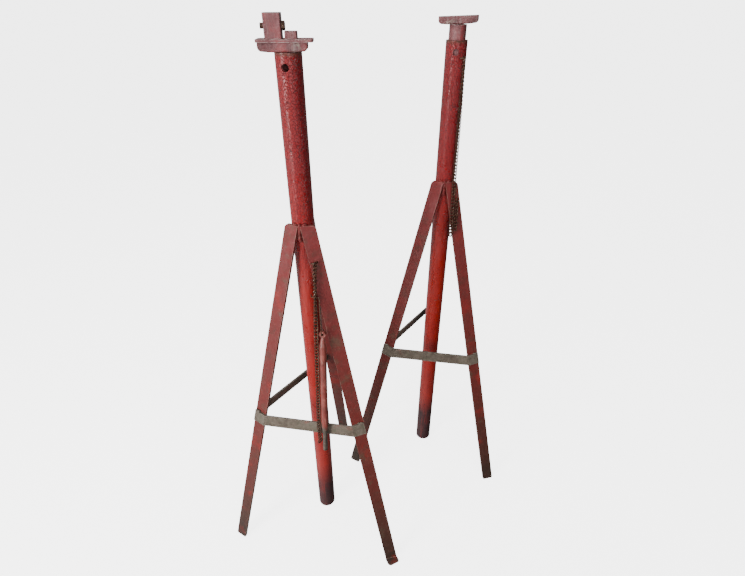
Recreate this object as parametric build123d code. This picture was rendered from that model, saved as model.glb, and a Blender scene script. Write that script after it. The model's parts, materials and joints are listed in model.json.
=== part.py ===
from build123d import *
import math
import os

# A pair of tall tripod axle stands, millimetres, +Z up. Each stand has a plain outer pipe with three
# flat-bar legs and three brace straps, and a tube with a saddle that telescopes out of the pipe's top.
# In a stand's own frame the pipe's axis is Z, the floor is Z = 0 and the front is -Y. Both stands face
# the same way.

# ---- pipes -------------------------------------------------------------------------------------
OUTER_R = 42.2 / 2          # outer pipe, 1 1/4 in nominal
OUTER_BORE_R = 35.1 / 2
OUTER_BOTTOM = 1.0          # the pipe stops just above the floor, so the feet carry the load
OUTER_TOP = 1130.0
INNER_R = 33.4 / 2          # sliding tube, 1 in nominal
INNER_BORE_R = 26.6 / 2
INNER_LENGTH = 520.0
PIN_HOLE_R = 12.0 / 2       # cross holes for the locking bar's turned-down tip
PIN_HOLE_DROP = 20.0        # first hole below the rim, and below the saddle
INNER_HOLE_PITCH = 50.0
INNER_HOLE_COUNT = 7
RIGHT_RAISE = 27.0          # how far the right stand's tube stands out at rest
RIGHT_TUBE_TURN = 70.0      # and how far it is turned in its pipe, degrees

# ---- saddles -----------------------------------------------------------------------------------
SADDLE_LENGTH = 75.0
SADDLE_DEPTH = 26.0
SADDLE_THICKNESS = 13.5
SADDLE_CORNER_R = 6.5       # the lower corners of the ends
SADDLE_LIFT = 1.5           # how far the underside rises towards each end
LEFT_SADDLE_SHIFT = -7.0    # welded on off centre
LEFT_SADDLE_YAW = 12.0      # the left tube is turned a little in its pipe, degrees
RIGHT_SADDLE_TILT = -2.2    # welded on a little out of level, its +X end high, degrees
RIGHT_SADDLE_GAP = 0.7      # filled by the weld between the tube's square end and the tilted saddle

# ---- loose head on the left saddle --------------------------------------------------------------
HEAD_PLATE = (85.0, 38.0, 4.0)
HEAD_PLATE_X = -3.5
UPRIGHT = (25.5, 25.5, 34.0)
UPRIGHT_X = -19.5
STOP_BLOCK = (18.0, 22.0, 10.0)
STOP_BLOCK_X = 6.5
HEAD_BOLT_R = 4.0
HEAD_BOLT_Z = 17.0          # above the plate
HEAD_BOLT_OUT = 6.0         # shank showing beyond the upright's left side
HEAD_BOLT_HEAD_R = 6.5
HEAD_BOLT_HEAD_H = 5.0
FIT = 0.05                  # radial clearance of a bolt or pin in its hole

# ---- legs --------------------------------------------------------------------------------------
LEG_WIDTH = 28.0
LEG_THICKNESS = 5.0
LEG_TOP = 853.0
LEG_TOP_SIDESTEP = 5.6      # front legs: the bar's middle, sideways from the face's radial line
FRONT_FACE_TURN = 23.0      # front legs: the flat face's heading, degrees either side of -Y
FRONT_FOOT_TURN = 56.0      # front legs: the foot's heading, degrees either side of -Y
FRONT_FOOT_R = 241.0
BACK_FOOT_R = 238.0
LEG_TOP_CORNER_R = 8.0       # outer corners, ground off before welding
LEG_MEETING_CORNER_R = 1.5   # inner corners, which meet in front of the pipe
LEG_FOOT_CORNER_R = 4.0
WELD_GAP = 0.1              # between pieces that a weld joins
TOE_LENGTH = 19.0            # the toe hammered out of the left stand's right foot
TOE_THICKNESS = 5.0
TOE_TURN = 12.0              # it points further outwards than the leg's face, degrees
TOE_CORNER_RS = (8.0, 3.0)   # inner and outer corner

# ---- brace straps ------------------------------------------------------------------------------
BRACE_Z = 405.0
BRACE_HEIGHT = 28.0
BRACE_THICKNESS = 4.5
SIDE_BRACE_FRONT_Z = 427.0   # the side straps sit a little higher than the front one
SIDE_BRACE_BACK_Z = 416.0
SIDE_BRACE_HEIGHT = 23.0
BACK_BRACE_OFFSET = 9.0     # side straps, from the back leg's middle

# ---- chains ------------------------------------------------------------------------------------
WIRE_R = 1.1
LINK_WIDTH = 9.0            # over the wire
LINK_PITCH = 7.2
LINK_SLACK = 0.25           # between the wires of neighbouring links
LINK_TWIST = 0.45           # how far a link's shoulders stand out of its flat, of its half width
LINK_BEND_R = 2.1
STAPLE_R = 6.0              # arch that the chain hangs from, to the middle of its wire
STAPLE_WIRE_R = 1.4
FIRST_LINK_GAP = 0.05       # between the staple's wire and the first link's
RING_R = 5.0
RING_WIRE_R = 1.5

LEFT_CHAIN_X = 28.0
LEFT_STAPLE_Z = 786.0
LEFT_CHAIN_LEAVES_LEG_Z = 712.0
LEFT_CHAIN_OVER_STRAP = 5.2     # from the strap's lower front edge to the chain's middle
LEFT_CHAIN_TAIL_LINKS = 7       # links hanging free below the strap's top edge

RIGHT_STAPLE_Z = 1100.0
RIGHT_STAPLE_TURN = 40.0        # heading of the staple, degrees from -Y towards +X
RIGHT_CHAIN_END_Z = 738.0
RIGHT_CHAIN_DRIFT = 3.0         # sideways, from the staple to the leg's top
RIGHT_CHAIN_OFF_LEG = 6.0       # from the leg's face to the chain's middle
RIGHT_TAIL_LINKS = 10           # links of the end that is hooked back up beside the strand

# ---- locking bar -------------------------------------------------------------------------------
BAR_R = 7.0
BAR_X = 41.0
BAR_EYE_Z = 644.0
BAR_LENGTH = 292.0          # from the middle of the eye to the tip
BAR_TIP_R = 5.0
BAR_TIP_LENGTH = 46.0
BAR_TAPER = 20.0
BAR_OFF_STRAP = 0.8
EYE_R = 6.5
EYE_THICKNESS = 6.0
EYE_HOLE_R = 2.9
HOOK_WIRE_R = 1.0
HOOK_LINK = 9               # the hook goes through this link of the left chain, counted from the top

# ---- the pair ----------------------------------------------------------------------------------
PAIR_STEP = (252.0, 273.0)  # from the left stand's axis to the right stand's


def heading(turn):
    """Horizontal unit vector at an angle from the front, -Y, counted towards +X."""
    angle = math.radians(turn)
    return Vector(math.sin(angle), -math.cos(angle), 0)


def rod(start, end, radius):
    """Round bar between two points."""
    axis = end - start
    plane = Plane(origin=start, z_dir=axis)
    return extrude(plane * Circle(radius), axis.length)


class Leg:
    """A flat bar from the pipe to the floor: outer face's mid line, and the bar's own axes."""

    def __init__(self, face_turn, sidestep, foot):
        face = heading(face_turn)
        side = heading(face_turn + 90)
        reach = OUTER_R + WELD_GAP + LEG_THICKNESS * 1.03
        self.top = face * reach + side * sidestep + Vector(0, 0, LEG_TOP)
        self.foot = foot
        self.down = (self.foot - self.top).normalized()
        self.across = self.down.cross(face).normalized()
        self.normal = self.across.cross(self.down).normalized()
        if self.normal.dot(face) < 0:
            self.normal = self.normal * -1
        if self.across.dot(side) < 0:
            self.across = self.across * -1

    def at(self, z):
        """Point of the outer face's mid line at a height."""
        return self.top + self.down * ((z - self.top.Z) / self.down.Z)

    def bar(self, foot_corner_r=LEG_FOOT_CORNER_R):
        """The bar, cut level at its top and at the floor, with the corners of its ends rounded."""
        spare = 30.0
        start = self.top - self.down * spare - self.normal * (LEG_THICKNESS / 2)
        length = (self.foot - self.top).length + 2 * spare
        plane = Plane(origin=start, x_dir=self.across, z_dir=self.down)
        blank = extrude(plane * Rectangle(LEG_WIDTH, LEG_THICKNESS), length)
        room = Pos(0, 0, LEG_TOP / 2) * Box(1000, 1000, LEG_TOP)
        bar = blank & room
        ends = [e for e in bar.edges() if abs(e.center().Z - LEG_TOP) < 0.01 and e.length < LEG_WIDTH / 2]
        for meets, radius in ((True, LEG_MEETING_CORNER_R), (False, LEG_TOP_CORNER_R)):
            corners = [e for e in ends if (abs(e.center().X) < LEG_WIDTH / 3) == meets]
            if corners:
                bar = fillet(corners, radius)
        if foot_corner_r:
            corners = [e for e in bar.edges() if abs(e.center().Z) < 0.01 and e.length < LEG_WIDTH / 2]
            bar = fillet(corners, foot_corner_r)
        return bar

    def section(self, z, across, outward, height, thickness):
        """Upright rectangle on a plane square to the bar's width, for a lapped strap's end."""
        centre = self.at(z) + self.across * across + self.normal * outward
        plane = Plane(origin=centre, x_dir=self.normal, z_dir=self.across)
        return plane * Rectangle(thickness, height)

    def inner_section(self, z, across, towards_back):
        """Upright rectangle on the bar's inner face, for a side strap that butts against it."""
        centre = self.at(z) + self.across * across - self.normal * (LEG_THICKNESS + WELD_GAP)
        plane = Plane(origin=centre, x_dir=self.across * towards_back, z_dir=self.normal * -towards_back)
        return plane * Rectangle(BRACE_THICKNESS, SIDE_BRACE_HEIGHT)

    def face_at(self, x, z, off=0.0):
        """Point of the outer face's plane at a given X and height, moved off the face."""
        dx = x - self.normal.X * off - self.top.X
        dz = z - self.normal.Z * off - self.top.Z
        det = self.across.X * self.down.Z - self.down.X * self.across.Z
        along = (self.across.X * dz - self.across.Z * dx) / det
        sideways = (dx * self.down.Z - dz * self.down.X) / det
        return self.top + self.across * sideways + self.down * along + self.normal * off


def make_legs():
    """The three legs of one stand."""
    return {
        "leg_left": Leg(-FRONT_FACE_TURN, -LEG_TOP_SIDESTEP, heading(-FRONT_FOOT_TURN) * FRONT_FOOT_R),
        "leg_right": Leg(FRONT_FACE_TURN, LEG_TOP_SIDESTEP, heading(FRONT_FOOT_TURN) * FRONT_FOOT_R),
        "leg_back": Leg(180, 0, heading(180) * BACK_FOOT_R),
    }


def front_brace(legs):
    """Strap across the two front legs, each end bent back to lie on the leg's outer face."""
    ends = []
    tabs = []
    outward = BRACE_THICKNESS / 2 + WELD_GAP
    for leg, inner in ((legs["leg_left"], 1), (legs["leg_right"], -1)):
        at_inner = leg.section(BRACE_Z, inner * LEG_WIDTH / 2, outward, BRACE_HEIGHT, BRACE_THICKNESS)
        ends.append(at_inner)
        tabs.append(extrude(at_inner, LEG_WIDTH - 1, dir=leg.across * -inner))
    return loft(ends, ruled=True) + tabs


def side_brace(front_leg, back_leg, side):
    """Straight strap from a front leg's inner face to the back leg's inner face."""
    start = front_leg.inner_section(SIDE_BRACE_FRONT_Z, 0, 1)
    end = back_leg.inner_section(SIDE_BRACE_BACK_Z, -side * BACK_BRACE_OFFSET, -1)
    return loft([start, end], ruled=True)


def toe(leg):
    """Short foot hammered outwards along the floor."""
    turn = Axis((0, 0, 0), (0, 0, 1))
    out = Vector(leg.normal.X, leg.normal.Y, 0).normalized().rotate(turn, TOE_TURN)
    side = Vector(leg.across.X, leg.across.Y, 0).normalized().rotate(turn, TOE_TURN)
    plane = Plane(origin=leg.foot + out * (TOE_LENGTH / 2 - LEG_THICKNESS), x_dir=side, z_dir=(0, 0, 1))
    blank = extrude(plane * Rectangle(LEG_WIDTH, TOE_LENGTH), TOE_THICKNESS)
    for direction, radius in zip((-1, 1), TOE_CORNER_RS):
        corner = leg.foot + out * TOE_LENGTH + side * (direction * LEG_WIDTH / 2)
        nearest = blank.edges().filter_by(Axis.Z).sort_by(lambda e: (e.center() - corner).length)[0]
        blank = fillet(nearest, radius)
    return blank


def outer_pipe():
    """Pipe open at both ends, with a cross hole for the locking bar below its rim."""
    length = OUTER_TOP - OUTER_BOTTOM
    tube = Pos(0, 0, OUTER_BOTTOM) * extrude(Circle(OUTER_R) - Circle(OUTER_BORE_R), length)
    return tube - cross_hole(OUTER_TOP - PIN_HOLE_DROP)


def cross_hole(z):
    """Cutter for one cross hole along Y."""
    return Pos(0, 0, z) * Rot(90, 0, 0) * Cylinder(PIN_HOLE_R, 4 * OUTER_R)


def sliding_tube(top, trim=0.0):
    """Tube that slides in the outer pipe, with its row of cross holes."""
    length = INNER_LENGTH - trim
    tube = Pos(0, 0, top - INNER_LENGTH) * extrude(Circle(INNER_R) - Circle(INNER_BORE_R), length)
    for i in range(INNER_HOLE_COUNT):
        tube -= cross_hole(top - PIN_HOLE_DROP - i * INNER_HOLE_PITCH)
    return tube


def saddle():
    """Bar with a flat top, rounded lower corners and an underside that lifts towards its ends."""
    half = SADDLE_LENGTH / 2
    with BuildPart() as part:
        with BuildSketch(Plane.XZ.offset(-SADDLE_DEPTH / 2)):
            with BuildLine():
                Polyline((-half, SADDLE_THICKNESS), (-half, SADDLE_LIFT), (-OUTER_R, 0), (OUTER_R, 0),
                         (half, SADDLE_LIFT), (half, SADDLE_THICKNESS), close=True)
            make_face()
        extrude(amount=SADDLE_DEPTH)
        ends = part.edges().filter_by(Axis.Y).filter_by(lambda e: e.center().Z < SADDLE_LIFT + 0.1)
        fillet([e for e in ends if abs(e.center().X) > OUTER_R + 1], SADDLE_CORNER_R)
        fillet(part.edges().filter_by(Axis.Z), 2.0)
    return part.part


def head_plate():
    """Plate that the loose head stands on."""
    blank = Pos(0, 0, HEAD_PLATE[2] / 2) * Box(*HEAD_PLATE)
    return fillet(blank.edges().filter_by(Axis.Z), 4.0)


def upright():
    """Upright block of the head, cross-drilled for the clamp bolt."""
    block = Pos(0, 0, UPRIGHT[2] / 2) * Box(*UPRIGHT)
    block = fillet(block.edges().filter_by(Axis.Z), 1.5)
    return block - Pos(0, 0, HEAD_BOLT_Z) * Rot(0, 90, 0) * Cylinder(HEAD_BOLT_R + FIT, 2 * UPRIGHT[0])


def stop_block():
    """Low block beside the upright."""
    block = Pos(0, 0, STOP_BLOCK[2] / 2) * Box(*STOP_BLOCK)
    return fillet(block.edges().filter_by(Axis.Z), 1.5)


def head_bolt():
    """Hexagon bolt through the upright, its shank end showing on the left."""
    left = -UPRIGHT[0] / 2 - HEAD_BOLT_OUT
    right = UPRIGHT[0] / 2 + 0.2
    shank = rod(Vector(left, 0, 0), Vector(right, 0, 0), HEAD_BOLT_R)
    plane = Plane(origin=(right, 0, 0), z_dir=(1, 0, 0))
    return shank + extrude(plane * RegularPolygon(HEAD_BOLT_HEAD_R, 6), HEAD_BOLT_HEAD_H)


def twisted_link():
    """One link of a twist-link chain, its length along Z and its flat facing Y.

    Its top turns one way out of the flat and its foot the other way, so links lie alike.
    """
    side = LINK_WIDTH / 2 - WIRE_R
    top = (LINK_PITCH + LINK_SLACK) / 2 + WIRE_R
    out = side * LINK_TWIST
    route = [(side, 0, 0), (side, out, top / 2), (out, out, top),
             (-out, -out, top), (-side, -out, top / 2), (-side, 0, 0)]
    path = FilletPolyline(*route, radius=LINK_BEND_R)
    start = Plane(origin=route[0], z_dir=Vector(*route[1]) - Vector(*route[0]))
    half = sweep(start * Circle(WIRE_R), path=path)
    return half + Rot(180, 0, 0) * half


def strand(points, headings):
    """Links one after another down a route of straight runs.

    Headings give the way that a link's flat faces, as pairs of link number and degrees, and the
    links between two of them turn evenly. Gives the links, and each one's centre, direction and
    flat's direction.
    """
    master = twisted_link()
    links = []
    places = []
    lengths = [(b - a).length for a, b in zip(points, points[1:])]
    for i in range(int(sum(lengths) / LINK_PITCH)):
        distance = (i + 0.5) * LINK_PITCH
        run = 0
        while distance > lengths[run] and run < len(lengths) - 1:
            distance -= lengths[run]
            run += 1
        along = (points[run + 1] - points[run]).normalized()
        centre = points[run] + along * distance
        facing = heading(turn_at(i, headings))
        flat = (facing - along * facing.dot(along)).normalized()
        places.append((centre, along, flat))
        links.append(Plane(origin=centre, x_dir=flat.cross(along), z_dir=along) * master)
    return links, places


def turn_at(i, headings):
    """Heading of link number i, between the given ones."""
    for (i0, turn0), (i1, turn1) in zip(headings, headings[1:]):
        if i <= i1:
            return turn0 + (turn1 - turn0) * (i - i0) / (i1 - i0)
    return headings[-1][1]


def end_ring(place):
    """Wire ring through the foot of a chain's last link."""
    centre, along, flat = place
    reach = LINK_PITCH / 2 - RING_WIRE_R + RING_R
    foot_wire = flat.cross(along) + flat
    return Plane(origin=centre + along * reach, z_dir=foot_wire) * Torus(RING_R, RING_WIRE_R)


def staple(point, normal, across):
    """Arch of wire with both ends on a face."""
    plane = Plane(origin=point + normal * WELD_GAP, x_dir=across, z_dir=across.cross(normal))
    return plane * Torus(STAPLE_R, STAPLE_WIRE_R, major_angle=180, align=None)


def locking_bar(eye, tip):
    """Round bar with a flattened eye at its top and a turned-down tip that fits the cross holes."""
    axis = (tip - eye).normalized()
    side = Vector(1, 0, 0)
    through = axis.cross(side).normalized()
    shoulder = tip - axis * BAR_TIP_LENGTH
    neck = eye + axis * (EYE_R - 0.5)
    body_start = neck + axis * BAR_TAPER
    bar = rod(body_start, shoulder - axis * BAR_TAPER, BAR_R) + rod(shoulder, tip, BAR_TIP_R)
    for start, r_start, r_end in ((neck, EYE_THICKNESS / 2, BAR_R),
                                  (shoulder - axis * BAR_TAPER, BAR_R, BAR_TIP_R)):
        plane = Plane(origin=start + axis * (BAR_TAPER / 2), x_dir=side, z_dir=axis)
        bar += plane * Cone(r_start, r_end, BAR_TAPER)
    disc = rod(eye - through * (EYE_THICKNESS / 2), eye + through * (EYE_THICKNESS / 2), EYE_R)
    hole = rod(eye - through * EYE_R, eye + through * EYE_R, EYE_HOLE_R)
    return bar + disc - hole


def bar_hook(link_point, eye, through):
    """Wire hook: through a chain link at its top, and through the bar's eye at its foot."""
    up = Vector(0, 0, 1)
    x = Vector(1, 0, 0)
    route = [
        link_point - x * 7.5 + up * 7,
        link_point - x * 7.5,
        link_point + x * 8,
        eye - through * 8 + up * 9,
        eye - through * 8,
        eye + through * 7.5,
        eye + through * 7.5 + up * 7,
    ]
    path = FilletPolyline(*route, radius=2.4)
    start = Plane(origin=route[0], z_dir=route[1] - route[0])
    return sweep(start * Circle(HOOK_WIRE_R), path=path)


def stand_frame(side, legs):
    """Outer pipe, legs, and the straps that both stands have."""
    nodes = {f"{side}_outer_pipe": outer_pipe()}
    for name, leg in legs.items():
        nodes[f"{side}_{name}"] = leg.bar()
    nodes[f"{side}_brace_front"] = front_brace(legs)
    nodes[f"{side}_brace_left"] = side_brace(legs["leg_left"], legs["leg_back"], -1)
    return nodes


def left_stand():
    """Stand with its tube right down, the loose head on its saddle, a chain and a locking bar."""
    legs = make_legs()
    nodes = stand_frame("left", legs)
    nodes["left_leg_right"] = legs["leg_right"].bar(foot_corner_r=0) + toe(legs["leg_right"])
    nodes["left_brace_right"] = side_brace(legs["leg_right"], legs["leg_back"], 1)
    nodes["left_sliding_tube"] = sliding_tube(OUTER_TOP)
    turn = Pos(LEFT_SADDLE_SHIFT, 0, OUTER_TOP) * Rot(0, 0, LEFT_SADDLE_YAW)
    nodes["left_saddle"] = turn * saddle()
    on_saddle = turn * Pos(0, 0, SADDLE_THICKNESS)
    on_plate = on_saddle * Pos(0, 0, HEAD_PLATE[2])
    nodes["left_head_plate"] = on_saddle * Pos(HEAD_PLATE_X - LEFT_SADDLE_SHIFT, 0, 0) * head_plate()
    at_upright = on_plate * Pos(UPRIGHT_X - LEFT_SADDLE_SHIFT, 0, 0)
    nodes["left_head_upright"] = at_upright * upright()
    nodes["left_head_bolt"] = at_upright * Pos(0, 0, HEAD_BOLT_Z) * head_bolt()
    nodes["left_head_stop"] = on_plate * Pos(STOP_BLOCK_X - LEFT_SADDLE_SHIFT, 0, 0) * stop_block()

    leg = legs["leg_right"]
    face_point = leg.face_at(LEFT_CHAIN_X, LEFT_STAPLE_Z, STAPLE_R) - leg.normal * STAPLE_R
    nodes["left_chain_staple"] = staple(face_point, leg.normal, leg.across)

    brace_foot_z = BRACE_Z - BRACE_HEIGHT / 2
    strap_corner = leg.at(brace_foot_z) - leg.across * (LEG_WIDTH / 2)
    strap_front_y = strap_corner.Y + leg.normal.Y * (BRACE_THICKNESS + WELD_GAP)
    apex = face_point + leg.normal * (STAPLE_R + WELD_GAP)
    hang = apex - leg.down * (STAPLE_WIRE_R + FIRST_LINK_GAP)
    edge = leg.face_at(LEFT_CHAIN_X, LEFT_CHAIN_LEAVES_LEG_Z, STAPLE_R)
    over = Vector(LEFT_CHAIN_X, strap_front_y - LEFT_CHAIN_OVER_STRAP, BRACE_Z + BRACE_HEIGHT / 2)
    end = over - Vector(0, 0, LEFT_CHAIN_TAIL_LINKS * LINK_PITCH)
    headings = ((0, FRONT_FACE_TURN + 45), (HOOK_LINK, 90), (2 * HOOK_LINK, 30), (4 * HOOK_LINK, 10))
    links, places = strand([hang, edge, over, end], headings)
    nodes["left_chain"] = Compound(children=links)
    nodes["left_chain_ring"] = end_ring(places[-1])

    slope = (over.Y - edge.Y) / (over.Z - edge.Z)
    eye = Vector(BAR_X, edge.Y + (BAR_EYE_Z - edge.Z) * slope, BAR_EYE_Z)
    rest = Vector(BAR_X, strap_front_y - BAR_R - BAR_OFF_STRAP, brace_foot_z)
    lean = (rest - eye).normalized()
    tip = eye + lean * BAR_LENGTH
    nodes["left_locking_bar"] = locking_bar(eye, tip)
    through = Vector(1, 0, 0).cross(lean).normalized()
    hook_at = places[HOOK_LINK][0]
    nodes["left_bar_hook"] = bar_hook(hook_at, eye, through)
    return nodes


def right_stand():
    """Stand with its tube a little out, and a chain whose end is hooked back up beside itself."""
    legs = make_legs()
    nodes = stand_frame("right", legs)
    top = OUTER_TOP + RIGHT_RAISE
    nodes["right_sliding_tube"] = Rot(0, 0, RIGHT_TUBE_TURN) * sliding_tube(top, RIGHT_SADDLE_GAP)
    nodes["right_saddle"] = Pos(0, 0, top) * Rot(0, RIGHT_SADDLE_TILT, 0) * saddle()

    out = heading(RIGHT_STAPLE_TURN)
    side = heading(RIGHT_STAPLE_TURN + 90)
    face_point = out * OUTER_R + Vector(0, 0, RIGHT_STAPLE_Z)
    nodes["right_chain_staple"] = staple(face_point, out, side)

    leg = legs["leg_right"]
    apex = face_point + out * (STAPLE_R + WELD_GAP)
    hang = apex + Vector(0, 0, STAPLE_WIRE_R + FIRST_LINK_GAP)
    route = [hang]
    route.append(leg.face_at(hang.X + RIGHT_CHAIN_DRIFT, LEG_TOP + 4, RIGHT_CHAIN_OFF_LEG))
    route.append(leg.face_at(hang.X + 2 * RIGHT_CHAIN_DRIFT, RIGHT_CHAIN_END_Z, RIGHT_CHAIN_OFF_LEG))
    headings = ((0, RIGHT_STAPLE_TURN + 45), (14, 40), (30, FRONT_FACE_TURN), (40, 10))
    links, places = strand(route, headings)
    nodes["right_chain"] = Compound(children=links)
    rise = (route[1] - route[2]).normalized()
    start = places[-1][0] + leg.across * (LINK_WIDTH + 1)
    tail_route = [start, start + rise * (RIGHT_TAIL_LINKS * LINK_PITCH + 1)]
    tail, _ = strand(tail_route, ((0, FRONT_FACE_TURN), (9, 45)))
    nodes["right_chain_tail"] = Compound(children=tail)
    nodes["right_chain_ring"] = end_ring(places[-1])
    return nodes


def build():
    """Both stands, with the pair's bottom centre at the origin."""
    nodes = left_stand()
    for name, shape in right_stand().items():
        nodes[name] = Pos(PAIR_STEP[0], PAIR_STEP[1], 0) * shape
    box = Compound(children=[solid for shape in nodes.values() for solid in shape.solids()]).bounding_box()
    centre = box.center()
    return {name: Pos(-centre.X, -centre.Y, -box.min.Z) * shape for name, shape in nodes.items()}


if __name__ == "__main__":
    os.makedirs("parts", exist_ok=True)
    for node, shape in build().items():
        solids = list(shape.solids())
        export_step(solids[0] if len(solids) == 1 else Compound(children=solids), f"parts/{node}.step")
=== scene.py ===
import json
import math

import bmesh
import bpy
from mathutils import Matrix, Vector, noise


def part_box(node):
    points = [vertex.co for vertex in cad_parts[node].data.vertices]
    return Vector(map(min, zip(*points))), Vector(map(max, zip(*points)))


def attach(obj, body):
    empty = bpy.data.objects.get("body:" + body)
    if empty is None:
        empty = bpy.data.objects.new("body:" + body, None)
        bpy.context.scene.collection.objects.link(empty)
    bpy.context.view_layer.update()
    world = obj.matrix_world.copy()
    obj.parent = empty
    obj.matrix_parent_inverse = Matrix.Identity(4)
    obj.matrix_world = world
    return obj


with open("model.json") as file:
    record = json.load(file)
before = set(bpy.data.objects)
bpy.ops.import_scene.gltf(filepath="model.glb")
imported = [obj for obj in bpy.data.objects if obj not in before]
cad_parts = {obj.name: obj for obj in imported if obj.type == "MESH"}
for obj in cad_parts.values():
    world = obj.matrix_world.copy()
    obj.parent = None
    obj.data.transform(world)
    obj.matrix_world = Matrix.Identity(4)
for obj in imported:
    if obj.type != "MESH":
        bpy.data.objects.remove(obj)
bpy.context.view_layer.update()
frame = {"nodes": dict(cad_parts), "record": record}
CAD = frame["nodes"]
SIDES = ("left", "right")


# ---------------------------------------------------------------- camera

CAMERA_FROM_PIPE = (0.2482, -0.7494)
CAMERA_HEIGHT = 1.1999
CAMERA_LENS = 22.19
CAMERA_TILT = 57.65
CAMERA_TURN = 9.0


def make_camera():
    """In front of the left stand, level with the saddles, and looking down at the feet."""
    data = bpy.data.cameras.new("camera")
    data.sensor_width = 36.0
    data.lens = CAMERA_LENS
    data.clip_end = 200.0
    camera = bpy.data.objects.new("camera", data)
    low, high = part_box("left_outer_pipe")
    pipe = ((low[0] + high[0]) / 2, (low[1] + high[1]) / 2)
    camera.location = (pipe[0] + CAMERA_FROM_PIPE[0], pipe[1] + CAMERA_FROM_PIPE[1], CAMERA_HEIGHT)
    camera.rotation_euler = (math.radians(CAMERA_TILT), 0.0, math.radians(CAMERA_TURN))
    bpy.context.collection.objects.link(camera)
    bpy.context.scene.camera = camera


make_camera()


# ---------------------------------------------------------------- material graphs

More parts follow.
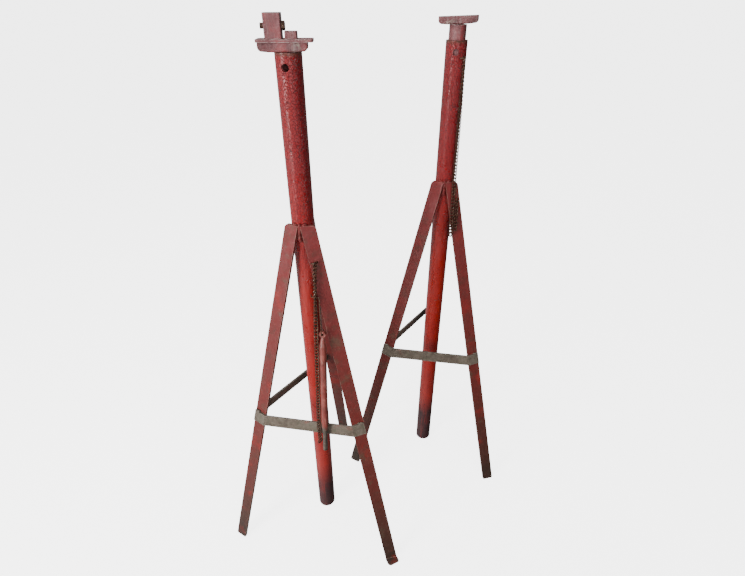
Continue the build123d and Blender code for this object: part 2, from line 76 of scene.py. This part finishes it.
class Graph:
    """A material's node tree, with short calls for the nodes that the finishes use."""

    def __init__(self, name):
        self.material = bpy.data.materials.new(name)
        self.material.use_nodes = True
        self.nodes = self.material.node_tree.nodes
        self.links = self.material.node_tree.links
        self.nodes.clear()
        self.coords = self.nodes.new("ShaderNodeTexCoord").outputs["Object"]
        self.height = self.split(self.coords)[2]

    def link(self, source, target):
        if isinstance(source, (int, float)):
            target.default_value = source
        elif isinstance(source, tuple):
            target.default_value = (*source, 1.0) if len(source) == 3 else source
        else:
            self.links.new(source, target)

    def split(self, vector):
        node = self.nodes.new("ShaderNodeSeparateXYZ")
        self.links.new(vector, node.inputs[0])
        return node.outputs

    def stretched(self, scale):
        node = self.nodes.new("ShaderNodeMapping")
        self.links.new(self.coords, node.inputs["Vector"])
        node.inputs["Scale"].default_value = scale
        return node.outputs[0]

    def noise(self, scale, detail=4.0, rough=0.55, vector=None, distortion=0.0):
        node = self.nodes.new("ShaderNodeTexNoise")
        self.links.new(vector or self.coords, node.inputs["Vector"])
        node.inputs["Scale"].default_value = scale
        node.inputs["Detail"].default_value = detail
        node.inputs["Roughness"].default_value = rough
        node.inputs["Distortion"].default_value = distortion
        return node.outputs["Fac"]

    def warped(self, scale, amount, vector=None):
        """The coordinates, pushed about by a noise."""
        node = self.nodes.new("ShaderNodeTexNoise")
        source = vector or self.coords
        self.links.new(source, node.inputs["Vector"])
        node.inputs["Scale"].default_value = scale
        node.inputs["Detail"].default_value = 3.0
        shift = self.nodes.new("ShaderNodeVectorMath")
        shift.operation = "MULTIPLY_ADD"
        self.links.new(node.outputs["Color"], shift.inputs[0])
        shift.inputs[1].default_value = (amount, amount, amount)
        self.links.new(source, shift.inputs[2])
        return shift.outputs[0]

    def cracks(self, scale, vector):
        """Distance to the edge of irregular cells: small along their cracks."""
        node = self.nodes.new("ShaderNodeTexVoronoi")
        node.feature = "DISTANCE_TO_EDGE"
        self.links.new(vector, node.inputs["Vector"])
        node.inputs["Scale"].default_value = scale
        return node.outputs["Distance"]

    def spots(self, scale, vector=None):
        node = self.nodes.new("ShaderNodeTexVoronoi")
        self.links.new(vector or self.coords, node.inputs["Vector"])
        node.inputs["Scale"].default_value = scale
        return node.outputs["Distance"]

    def steps(self, value, low, high, top=1.0, floor=0.0):
        """Value mapped from low..high to floor..top, smoothly, and held there."""
        node = self.nodes.new("ShaderNodeMapRange")
        node.interpolation_type = "SMOOTHSTEP"
        self.link(value, node.inputs["Value"])
        node.inputs["From Min"].default_value = low
        node.inputs["From Max"].default_value = high
        node.inputs["To Min"].default_value = floor
        node.inputs["To Max"].default_value = top
        return node.outputs["Result"]

    def math(self, operation, a, b=0.0):
        node = self.nodes.new("ShaderNodeMath")
        node.operation = operation
        self.link(a, node.inputs[0])
        self.link(b, node.inputs[1])
        return node.outputs[0]

    def ramp(self, value, stops):
        node = self.nodes.new("ShaderNodeValToRGB")
        self.links.new(value, node.inputs["Fac"])
        elements = node.color_ramp.elements
        while len(elements) < len(stops):
            elements.new(1.0)
        for element, (position, colour) in zip(elements, stops):
            element.position = position
            element.color = (*colour, 1.0)
        return node.outputs["Color"]

    def mix(self, factor, a, b, blend="MIX"):
        node = self.nodes.new("ShaderNodeMix")
        node.data_type = "RGBA"
        node.blend_type = blend
        self.link(factor, node.inputs[0])
        self.link(a, node.inputs[6])
        self.link(b, node.inputs[7])
        return node.outputs[2]

    def edges(self, radius, low, high):
        """1 along convex edges, where handling wears the paint, falling to 0 on flats."""
        bevel = self.nodes.new("ShaderNodeBevel")
        bevel.samples = 6
        bevel.inputs["Radius"].default_value = radius
        geometry = self.nodes.new("ShaderNodeNewGeometry")
        dot = self.nodes.new("ShaderNodeVectorMath")
        dot.operation = "DOT_PRODUCT"
        self.links.new(bevel.outputs["Normal"], dot.inputs[0])
        self.links.new(geometry.outputs["Normal"], dot.inputs[1])
        return self.steps(self.math("SUBTRACT", 1.0, dot.outputs["Value"]), low, high)

    def bump(self, height, depth, strength=1.0, under=None):
        node = self.nodes.new("ShaderNodeBump")
        node.inputs["Strength"].default_value = strength
        node.inputs["Distance"].default_value = depth
        self.links.new(height, node.inputs["Height"])
        if under is not None:
            self.links.new(under, node.inputs["Normal"])
        return node.outputs["Normal"]

    def surface(self, colour, roughness, normal, metallic=0.0, specular=0.5):
        shader = self.nodes.new("ShaderNodeBsdfPrincipled")
        self.link(colour, shader.inputs["Base Color"])
        self.link(roughness, shader.inputs["Roughness"])
        self.link(metallic, shader.inputs["Metallic"])
        shader.inputs["Specular IOR Level"].default_value = specular
        self.links.new(normal, shader.inputs["Normal"])
        output = self.nodes.new("ShaderNodeOutputMaterial")
        self.links.new(shader.outputs[0], output.inputs["Surface"])
        return self.material


# ---------------------------------------------------------------- finishes

DARK_FOOT = (0.040, 0.012, 0.013)
ORANGE_RED = (0.340, 0.011, 0.006)
CRIMSON = (0.290, 0.007, 0.009)
DUST = (0.230, 0.105, 0.098)
PRIMER = (0.120, 0.060, 0.040)
CRACK = (0.040, 0.006, 0.006)
RUST = (0.085, 0.038, 0.022)


def pipe_paint():
    """Thick old gloss enamel: crackled and crimson above the legs, redder below, black at the foot."""
    g = Graph("pipe_paint")
    wander = g.math("MULTIPLY", g.math("SUBTRACT", g.noise(9.0, 5.0), 0.5), 0.12)
    height = g.math("ADD", g.height, wander)
    colour = g.ramp(height, [(0.0, DARK_FOOT), (0.10, DARK_FOOT), (0.19, (0.30, 0.020, 0.014)),
                             (0.34, ORANGE_RED), (0.72, (0.290, 0.011, 0.007)), (0.88, CRIMSON),
                             (1.0, (0.250, 0.008, 0.011))])
    tone = g.noise(26.0, 6.0, 0.6, g.stretched((1.0, 1.0, 0.35)))
    colour = g.mix(g.steps(tone, 0.50, 0.72, 0.55), colour, (0.160, 0.010, 0.009))
    streaks = g.noise(120.0, 4.0, 0.6, g.stretched((1.0, 1.0, 0.06)))
    colour = g.mix(g.steps(streaks, 0.52, 0.75, 0.35), colour, (0.360, 0.036, 0.024))
    dust = g.noise(55.0, 7.0, 0.68)
    colour = g.mix(g.steps(dust, 0.58, 0.76, 0.35), colour, DUST)
    cells = g.cracks(185.0, g.warped(90.0, 0.006))
    fine = g.cracks(420.0, g.warped(200.0, 0.003))
    crazed_height = g.math("ADD", g.height, g.math("MULTIPLY", g.noise(18.0, 3.0), 0.34))
    crazed = g.steps(crazed_height, 0.78, 1.05, 1.0, 0.12)
    split = g.math("MULTIPLY", g.steps(cells, 0.0, 0.085, 0.0, 1.0), crazed)
    hair = g.math("MULTIPLY", g.steps(fine, 0.0, 0.07, 0.0, 0.6), crazed)
    colour = g.mix(g.math("MULTIPLY", split, 0.75), colour, CRACK)
    colour = g.mix(g.math("MULTIPLY", hair, 0.5), colour, CRACK)
    chips = g.steps(g.noise(75.0, 8.0, 0.7), 0.63, 0.68)
    chips = g.math("MULTIPLY", chips, g.steps(g.noise(6.0, 2.0), 0.42, 0.60))
    colour = g.mix(chips, colour, PRIMER)
    rim = g.steps(g.math("ADD", g.height, g.math("MULTIPLY", g.noise(130.0, 4.0), 0.012)), 1.128, 1.136)
    colour = g.mix(g.math("MULTIPLY", rim, 0.8), colour, RUST)
    rough = g.steps(g.noise(40.0, 6.0, 0.65), 0.35, 0.70, 0.50, 0.24)
    rough = g.math("ADD", rough, g.math("MULTIPLY", split, 0.3))
    low_dull = g.steps(height, 0.08, 0.22, 0.0, 0.25)
    rough = g.math("ADD", rough, low_dull)
    normal = g.bump(g.noise(260.0, 5.0, 0.6), 0.0006, 0.55)
    normal = g.bump(g.noise(60.0, 3.0, 0.5, g.stretched((1.0, 1.0, 0.3))), 0.0022, 0.55, normal)
    normal = g.bump(g.math("SUBTRACT", 1.0, g.math("ADD", split, hair)), 0.0007, 0.85, normal)
    normal = g.bump(g.math("SUBTRACT", 1.0, chips), 0.0004, 0.8, normal)
    return g.surface(colour, rough, normal)


def leg_paint():
    """Thin dull enamel on flat bar: dark red, rubbed through along the edges, browner at the feet."""
    g = Graph("leg_paint")
    height = g.math("ADD", g.height, g.math("MULTIPLY", g.math("SUBTRACT", g.noise(7.0, 4.0), 0.5), 0.22))
    colour = g.ramp(height, [(0.0, (0.030, 0.019, 0.013)), (0.12, (0.062, 0.019, 0.013)),
                             (0.34, (0.110, 0.017, 0.013)), (0.70, (0.135, 0.016, 0.015)),
                             (0.90, (0.155, 0.015, 0.016))])
    mottle = g.noise(38.0, 8.0, 0.66)
    colour = g.mix(g.steps(mottle, 0.47, 0.68, 0.65), colour, (0.070, 0.025, 0.018))
    colour = g.mix(g.steps(g.noise(95.0, 7.0, 0.7), 0.55, 0.75, 0.45), colour, (0.200, 0.060, 0.052))
    red = g.noise(16.0, 4.0, 0.6)
    colour = g.mix(g.steps(red, 0.55, 0.70, 0.6), colour, (0.230, 0.014, 0.011))
    grime = g.math("MULTIPLY", g.steps(g.noise(24.0, 6.0, 0.65), 0.55, 0.68), 0.6)
    colour = g.mix(grime, colour, (0.075, 0.048, 0.030))
    fleck = g.steps(g.noise(340.0, 4.0, 0.7), 0.63, 0.70)
    colour = g.mix(g.math("MULTIPLY", fleck, 0.5), colour, DUST)
    worn = g.math("MULTIPLY", g.edges(0.0022, 0.015, 0.10), g.steps(g.noise(42.0, 6.0, 0.7), 0.38, 0.58))
    colour = g.mix(g.math("MULTIPLY", worn, 0.65), colour, (0.300, 0.185, 0.150))
    bare = g.steps(g.noise(60.0, 9.0, 0.72), 0.64, 0.69)
    bare = g.math("MULTIPLY", bare, g.steps(g.height, 0.05, 0.45, 0.35, 1.0))
    colour = g.mix(bare, colour, (0.110, 0.075, 0.055))
    rough = g.steps(g.noise(50.0, 6.0, 0.65), 0.3, 0.7, 0.68, 0.42)
    normal = g.bump(g.noise(210.0, 6.0, 0.65), 0.0007, 0.7)
    normal = g.bump(g.noise(45.0, 5.0, 0.6), 0.0016, 0.5, normal)
    normal = g.bump(g.math("SUBTRACT", 1.0, g.math("MAXIMUM", worn, bare)), 0.0003, 0.8, normal)
    return g.surface(colour, rough, normal, 0.0, 0.3)


def strap_metal():
    """Strap with almost no paint left: grey-brown weathered steel, mottled with dark and greenish spots."""
    g = Graph("strap_metal")
    colour = g.ramp(g.noise(48.0, 8.0, 0.7), [(0.30, (0.045, 0.032, 0.023)), (0.47, (0.115, 0.088, 0.065)),
                                              (0.62, (0.185, 0.153, 0.120)), (0.78, (0.280, 0.250, 0.210))])
    colour = g.mix(g.steps(g.noise(85.0, 6.0, 0.65), 0.52, 0.66, 0.7), colour, (0.100, 0.098, 0.062))
    colour = g.mix(g.steps(g.noise(30.0, 5.0, 0.6), 0.60, 0.72, 0.55), colour, (0.210, 0.070, 0.055))
    pits = g.steps(g.noise(300.0, 6.0, 0.75), 0.56, 0.68)
    colour = g.mix(g.math("MULTIPLY", pits, 0.75), colour, (0.035, 0.026, 0.020))
    worn = g.edges(0.0020, 0.015, 0.10)
    colour = g.mix(g.math("MULTIPLY", worn, 0.45), colour, (0.400, 0.370, 0.330))
    rough = g.steps(g.noise(90.0, 6.0, 0.7), 0.3, 0.7, 0.72, 0.40)
    metal = g.steps(g.noise(48.0, 8.0, 0.7), 0.45, 0.70, 0.65, 0.25)
    normal = g.bump(g.noise(260.0, 8.0, 0.75), 0.0010, 0.9)
    normal = g.bump(g.noise(70.0, 5.0, 0.6), 0.0018, 0.6, normal)
    return g.surface(colour, rough, normal, metal)


def head_paint():
    """Mauve-brown worn enamel with bare patches, on the saddles, the tubes and the loose head."""
    g = Graph("head_paint")
    colour = g.ramp(g.noise(42.0, 7.0, 0.66), [(0.30, (0.060, 0.016, 0.017)), (0.48, (0.135, 0.034, 0.037)),
                                               (0.62, (0.190, 0.062, 0.064)), (0.78, (0.250, 0.125, 0.115))])
    colour = g.mix(g.steps(g.noise(20.0, 4.0, 0.6), 0.52, 0.68, 0.7), colour, (0.300, 0.040, 0.042))
    bare = g.steps(g.noise(70.0, 8.0, 0.72), 0.58, 0.66)
    colour = g.mix(g.math("MULTIPLY", bare, 0.8), colour, (0.230, 0.180, 0.150))
    rub = g.steps(g.noise(170.0, 4.0, 0.6, g.stretched((1.0, 1.0, 0.08))), 0.52, 0.72)
    colour = g.mix(g.math("MULTIPLY", rub, 0.35), colour, (0.380, 0.290, 0.270))
    pits = g.steps(g.noise(280.0, 6.0, 0.75), 0.60, 0.70)
    colour = g.mix(g.math("MULTIPLY", pits, 0.8), colour, (0.030, 0.012, 0.012))
    worn = g.math("MULTIPLY", g.edges(0.0020, 0.015, 0.10), g.steps(g.noise(90.0, 5.0), 0.35, 0.55))
    colour = g.mix(g.math("MULTIPLY", worn, 0.7), colour, (0.420, 0.330, 0.310))
    rough = g.steps(g.noise(60.0, 6.0, 0.65), 0.3, 0.7, 0.62, 0.34)
    normal = g.bump(g.noise(240.0, 7.0, 0.72), 0.0009, 0.8)
    normal = g.bump(g.noise(60.0, 4.0, 0.55), 0.0016, 0.5, normal)
    return g.surface(colour, rough, normal, g.math("MULTIPLY", bare, 0.6))


def rusty_wire(name, dark, light):
    """Rust-browned wire, with bright flecks that are partly chafe wear and partly painted glints."""
    g = Graph(name)
    colour = g.ramp(g.noise(160.0, 6.0, 0.7), [(0.30, dark), (0.52, RUST), (0.74, light)])
    # bright flecks: partly chafe wear, partly painted glints
    chafe_and_glint = g.steps(g.noise(420.0, 3.0, 0.6), 0.60, 0.72)
    colour = g.mix(g.math("MULTIPLY", chafe_and_glint, 0.7), colour, (0.420, 0.360, 0.310))
    rough = g.steps(g.noise(260.0, 4.0), 0.35, 0.68, 0.62, 0.30)
    normal = g.bump(g.noise(900.0, 6.0, 0.7), 0.0003, 0.8)
    return g.surface(colour, rough, normal, 0.7)


def bar_paint():
    """The locking bar: red-brown enamel with pale pink lengthwise streaks of painted highlight, and a bare
    grey-brown tip that goes in the holes.
    """
    low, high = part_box("left_locking_bar")
    g = Graph("bar_paint")
    colour = g.ramp(g.noise(60.0, 7.0, 0.68), [(0.30, (0.085, 0.020, 0.015)), (0.50, (0.190, 0.036, 0.028)),
                                               (0.74, (0.290, 0.090, 0.070))])
    # pale pink streaks along the bar: painted highlight, not wear
    highlight_streak = g.noise(190.0, 4.0, 0.6, g.stretched((1.0, 1.0, 0.07)))
    colour = g.mix(g.steps(highlight_streak, 0.52, 0.72, 0.5), colour, (0.420, 0.200, 0.160))
    pits = g.steps(g.noise(300.0, 6.0, 0.72), 0.60, 0.70)
    colour = g.mix(g.math("MULTIPLY", pits, 0.6), colour, (0.050, 0.024, 0.018))
    edge = g.math("ADD", g.height, g.math("MULTIPLY", g.math("SUBTRACT", g.noise(85.0, 5.0), 0.5), 0.05))
    painted = g.steps(edge, low[2] + 0.050, low[2] + 0.072)
    steel = g.ramp(g.noise(110.0, 7.0, 0.7), [(0.30, (0.060, 0.048, 0.038)), (0.60, (0.190, 0.160, 0.130)),
                                              (0.78, (0.300, 0.270, 0.235))])
    colour = g.mix(painted, steel, colour)
    rough = g.steps(g.noise(80.0, 5.0, 0.65), 0.3, 0.7, 0.55, 0.32)
    normal = g.bump(g.noise(260.0, 6.0, 0.7), 0.0006, 0.7)
    normal = g.bump(g.noise(70.0, 3.0, 0.5), 0.0012, 0.4, normal)
    return g.surface(colour, rough, normal, g.steps(painted, 0.0, 1.0, 0.0, 0.7))


def floor_finish():
    """Plain white paper, with a glow that keeps it near white."""
    g = Graph("floor_finish")
    colour = g.ramp(g.noise(3.0, 3.0), [(0.3, (0.90, 0.90, 0.895)), (0.7, (0.93, 0.93, 0.925))])
    material = g.surface(colour, 0.85, g.bump(g.noise(90.0, 4.0), 0.0004, 0.3), 0.0, 0.2)
    shader = next(n for n in g.nodes if n.type == "BSDF_PRINCIPLED")
    shader.inputs["Emission Color"].default_value = (1.0, 1.0, 1.0, 1.0)
    shader.inputs["Emission Strength"].default_value = FLOOR_GLOW
    return material


FINISH = {
    "red_pipe_paint": pipe_paint(),
    "red_leg_paint": leg_paint(),
    "bare_strap": strap_metal(),
    "worn_red_head": head_paint(),
    "rusty_chain": rusty_wire("rusty_chain_wire", (0.020, 0.012, 0.009), (0.150, 0.085, 0.055)),
    "dark_bolt": rusty_wire("dark_bolt_steel", (0.016, 0.012, 0.012), (0.090, 0.062, 0.055)),
    "red_bar_paint": bar_paint(),
}
SLOT_OF = {part["node"]: part["material_slot"] for part in frame["record"]["subparts"]}
BODY_OF = {node: body for body, members in frame["record"]["behaviour"]["bodies"].items() for node in members}


def finish_cad_nodes():
    for node, piece in CAD.items():
        for slot in piece.material_slots:
            slot.material = FINISH[SLOT_OF[node]]


finish_cad_nodes()


# ---------------------------------------------------------------- welds

def unevenness(point, amount, scale, seed):
    """A small push, different at each place, for lumps in weld metal."""
    place = Vector(point) * scale + Vector((seed, seed * 0.7, -seed))
    return amount * noise.fractal(place, 0.8, 2.0, 3)


def bead(name, path, radius, seed, node, slot):
    """A run of weld metal along a path: overlapping ripples, uneven in width, on a closed tube."""
    sides = 12
    spacing = radius * 0.22
    points = [Vector(p) for p in path]
    stations = []
    for a, b in zip(points, points[1:]):
        count = max(2, int((b - a).length / spacing))
        stations += [a.lerp(b, i / count) for i in range(count)]
    stations.append(points[-1])
    bm = bmesh.new()
    rings = []
    travelled = 0.0
    total = sum((b - a).length for a, b in zip(stations, stations[1:]))
    for i, place in enumerate(stations):
        if i:
            travelled += (place - stations[i - 1]).length
        ahead = stations[min(i + 1, len(stations) - 1)] - stations[max(i - 1, 0)]
        ahead.normalize()
        across = ahead.orthogonal().normalized()
        up = ahead.cross(across)
        end = min(1.0, min(travelled, total - travelled) / (radius * 1.1) + 0.12)
        ripple = 0.86 + 0.14 * abs(math.sin(travelled / (radius * 1.3) * math.pi))
        size = radius * math.sqrt(end) * ripple
        ring = []
        for k in range(sides):
            turn = 2 * math.pi * k / sides
            out = across * math.cos(turn) + up * math.sin(turn)
            lump = 1.0 + unevenness(place + out * radius, 0.45, 190.0, seed)
            ring.append(bm.verts.new(place + out * size * lump))
        rings.append(ring)
    for one, two in zip(rings, rings[1:]):
        for k in range(sides):
            bm.faces.new((one[k], one[(k + 1) % sides], two[(k + 1) % sides], two[k]))
    bm.faces.new(list(reversed(rings[0])))
    bm.faces.new(rings[-1])
    bmesh.ops.recalc_face_normals(bm, faces=bm.faces)
    mesh = bpy.data.meshes.new(name)
    bm.to_mesh(mesh)
    bm.free()
    mesh.polygons.foreach_set("use_smooth", [True] * len(mesh.polygons))
    piece = bpy.data.objects.new(name, mesh)
    bpy.context.collection.objects.link(piece)
    mesh.materials.append(FINISH[slot])
    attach(piece, BODY_OF[node])


def corner_of(node, axis_weights):
    """The node's vertex furthest in a direction, in metres."""
    direction = Vector(axis_weights)
    return max((v.co.copy() for v in CAD[node].data.vertices), key=lambda p: p.dot(direction))


def heading(turn):
    """Level direction, in degrees from -Y towards +X."""
    angle = math.radians(turn)
    return Vector((math.sin(angle), -math.cos(angle), 0.0))


def pipe_middle(side):
    """Where a stand's pipe axis meets the floor, and the pipe's radius."""
    low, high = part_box(f"{side}_outer_pipe")
    return Vector(((low[0] + high[0]) / 2, (low[1] + high[1]) / 2, 0.0)), (high[0] - low[0]) / 2


LEG_TURNS = {"leg_left": -23.0, "leg_right": 23.0, "leg_back": 180.0}
EDGE_TURN = 38.0            # from the middle of a leg's face round to its edge on the pipe
EDGE_WELD_DEPTHS = (0.006, 0.022, 0.043)
FRONT_WELD_ROUTE = ((0.0, 0.0, 0.004), (0.0, -0.0010, -0.006), (0.0, -0.0016, -0.018), (0.0, -0.0012, -0.032))
TOP_WELD_TURN = 34.0
TOP_WELD_INNER = 0.35       # how far round the inner end is, of the outer end's turn


def edge_welds(side, middle, radius, top):
    """Upright beads along the leg edges; the front legs' inner edges share the lump at the front."""
    for number, (leg, turn) in enumerate(LEG_TURNS.items()):
        edges = (-1, 1) if leg == "leg_back" else (math.copysign(1, turn),)
        for edge in edges:
            foot = middle + heading(turn + edge * EDGE_TURN) * (radius + 0.0012)
            path = [foot + Vector((0.0, 0.0, top - depth)) for depth in EDGE_WELD_DEPTHS]
            bead(f"{side}_{leg}_weld_{'low' if edge < 0 else 'high'}", path, 0.0030, 3.1 * number + edge,
                 f"{side}_{leg}", "red_leg_paint")


def leg_to_pipe_welds():
    """Weld metal where the straight tops of the legs lie against the pipe."""
    for side in SIDES:
        middle, radius = pipe_middle(side)
        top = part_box(f"{side}_leg_left")[1][2]
        edge_welds(side, middle, radius, top)
        leg = f"{side}_leg_left"
        front = middle + Vector((0.0, -(radius + 0.0016), 0.0))
        path = [front + Vector((x, y, top + z)) for x, y, z in FRONT_WELD_ROUTE]
        bead(f"{side}_front_weld", path, 0.0036, 8.3, leg, "red_leg_paint")
        for number, turn in enumerate((-TOP_WELD_TURN, TOP_WELD_TURN)):
            start = middle + heading(turn) * (radius + 0.0022) + Vector((0.0, 0.0, top + 0.0015))
            end = middle + heading(turn * TOP_WELD_INNER) * (radius + 0.0022)
            end += Vector((0.0, 0.0, top + 0.0005))
            bead(f"{side}_top_weld_{number}", [start, end], 0.0026, 12.0 + number, leg, "red_leg_paint")


def strap_welds():
    """A short bead at each end of the front strap, above and below, where it is fixed to the legs."""
    for side in SIDES:
        node = f"{side}_brace_front"
        for end, x_sign in (("left", -1.0), ("right", 1.0)):
            for edge, z_sign in (("lower", -1.0), ("upper", 1.0)):
                corner = corner_of(node, (x_sign, -0.3, 0.6 * z_sign))
                inner = corner + Vector((-x_sign * 0.013, -0.0022, 0.0))
                bead(f"{node}_{end}_{edge}_weld", [corner + Vector((0.0, 0.0008, 0.0)), inner], 0.0020,
                     5.0 + x_sign + z_sign, node, "bare_strap")


leg_to_pipe_welds()
strap_welds()


# ---------------------------------------------------------------- floor and light

FLOOR_GLOW = 4.0
BACKDROP = 4.4              # brightness of the background that the camera sees, to match the floor


def make_stage():
    """A plain pale floor that neither shows in the paint's gloss nor lights it from below."""
    bm = bmesh.new()
    bmesh.ops.create_grid(bm, x_segments=8, y_segments=8, size=60.0)
    mesh = bpy.data.meshes.new("floor")
    bm.to_mesh(mesh)
    bm.free()
    floor = bpy.data.objects.new("floor", mesh)
    bpy.context.collection.objects.link(floor)
    mesh.materials.append(floor_finish())
    floor.visible_glossy = False
    floor.visible_diffuse = False


def area_light(name, place, target, size, power, colour=(1.0, 1.0, 1.0)):
    data = bpy.data.lights.new(name, "AREA")
    data.shape = "RECTANGLE"
    data.size, data.size_y = size
    data.energy = power
    data.color = colour
    light = bpy.data.objects.new(name, data)
    light.location = place
    direction = Vector(target) - Vector(place)
    light.rotation_euler = direction.to_track_quat("-Z", "Y").to_euler()
    bpy.context.collection.objects.link(light)


def make_lights():
    """A tall soft window from the front left, a weak fill, and a room that is darker on the right."""
    area_light("window", (-1.5, -2.0, 1.15), (0.0, 0.0, 0.65), (0.7, 2.2), 84.0, (1.0, 0.985, 0.97))
    area_light("fill", (0.9, -2.4, 1.5), (0.0, 0.0, 0.55), (1.2, 1.6), 34.0)
    area_light("ceiling", (-0.6, -0.3, 3.2), (0.0, 0.0, 0.0), (2.4, 2.4), 34.0)
    world = bpy.data.worlds.new("room")
    world.use_nodes = True
    nodes, links = world.node_tree.nodes, world.node_tree.links
    nodes.clear()
    coords = nodes.new("ShaderNodeTexCoord")
    split = nodes.new("ShaderNodeSeparateXYZ")
    links.new(coords.outputs["Generated"], split.inputs[0])
    ramp = nodes.new("ShaderNodeMapRange")
    ramp.inputs["From Min"].default_value = -0.6
    ramp.inputs["From Max"].default_value = 0.7
    ramp.inputs["To Min"].default_value = 0.75
    ramp.inputs["To Max"].default_value = 0.05
    links.new(split.outputs[0], ramp.inputs["Value"])
    back = nodes.new("ShaderNodeBackground")
    back.inputs["Color"].default_value = (0.98, 0.99, 1.0, 1.0)
    links.new(ramp.outputs[0], back.inputs["Strength"])
    seen = nodes.new("ShaderNodeBackground")
    seen.inputs["Color"].default_value = (1.0, 1.0, 0.995, 1.0)
    seen.inputs["Strength"].default_value = BACKDROP
    path = nodes.new("ShaderNodeLightPath")
    choose = nodes.new("ShaderNodeMixShader")
    links.new(path.outputs["Is Camera Ray"], choose.inputs[0])
    links.new(back.outputs[0], choose.inputs[1])
    links.new(seen.outputs[0], choose.inputs[2])
    output = nodes.new("ShaderNodeOutputWorld")
    links.new(choose.outputs[0], output.inputs["Surface"])
    bpy.context.scene.world = world


make_stage()
make_lights()
